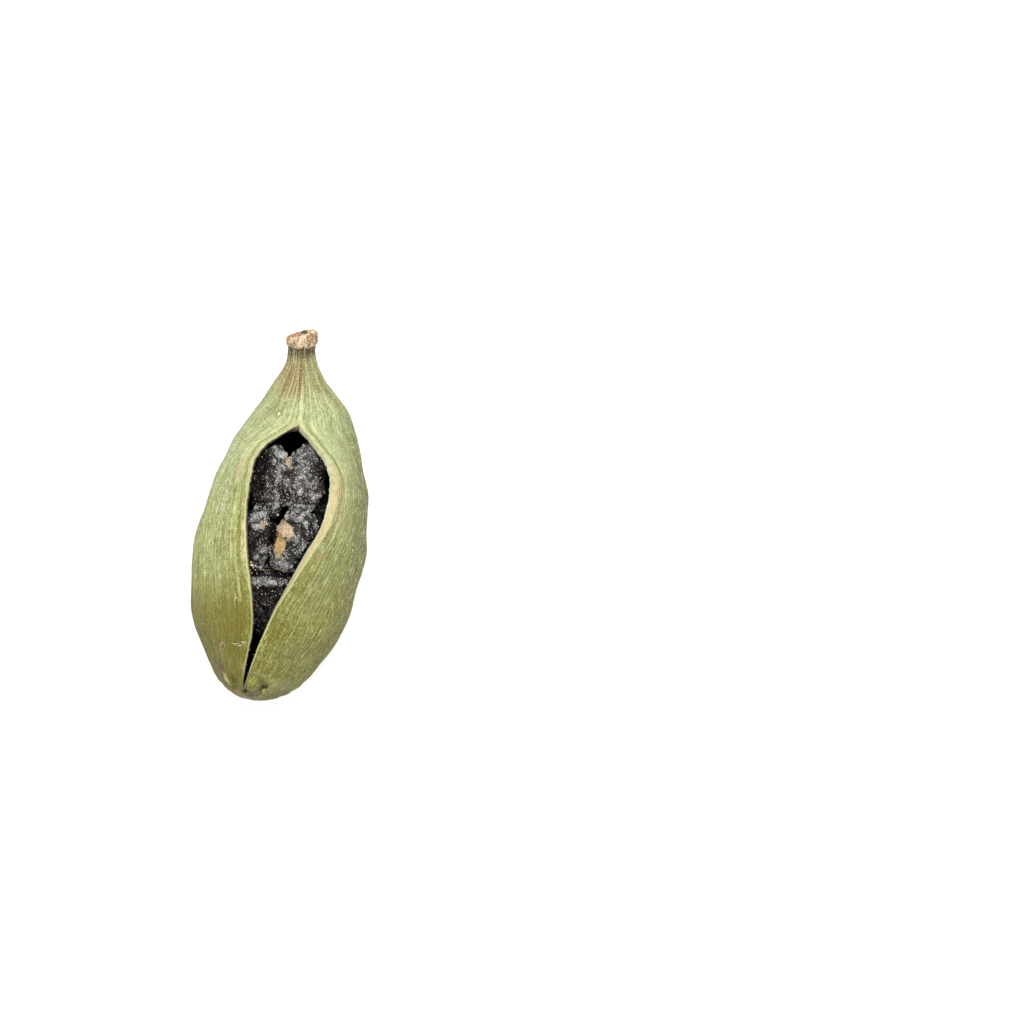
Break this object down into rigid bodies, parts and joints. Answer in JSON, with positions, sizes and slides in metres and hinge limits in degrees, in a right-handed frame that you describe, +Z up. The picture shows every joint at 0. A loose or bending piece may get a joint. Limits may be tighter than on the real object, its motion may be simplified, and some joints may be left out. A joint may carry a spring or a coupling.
{
  "type": "green cardamom pod",
  "caption": "Dried green cardamom pod lying on its back: a ribbed, tapering husk with a flared stalk, split along one face to show dark wrinkled seeds.",
  "frame": {"origin": "bottom centre of the bounding box: the middle of the pod's length and width, on the surface it lies on", "axes": "+Y along the pod towards its stalk, +Z up out of the slit, +X to the right when the stalk points away"},
  "size_m": [0.0092, 0.02, 0.0083],
  "materials": {
    "dried_husk": "matt, fibrous dried plant wall, pale green with olive shading and tan marks",
    "dark_seed": "matt, wrinkled, brown-black with a grey mealy bloom"
  },
  "bodies": {
    "root": {"husk": "dried_husk", "seeds_front": "dark_seed", "seeds_back_left": "dark_seed", "seeds_back_right": "dark_seed"}
  },
  "joints": []
}
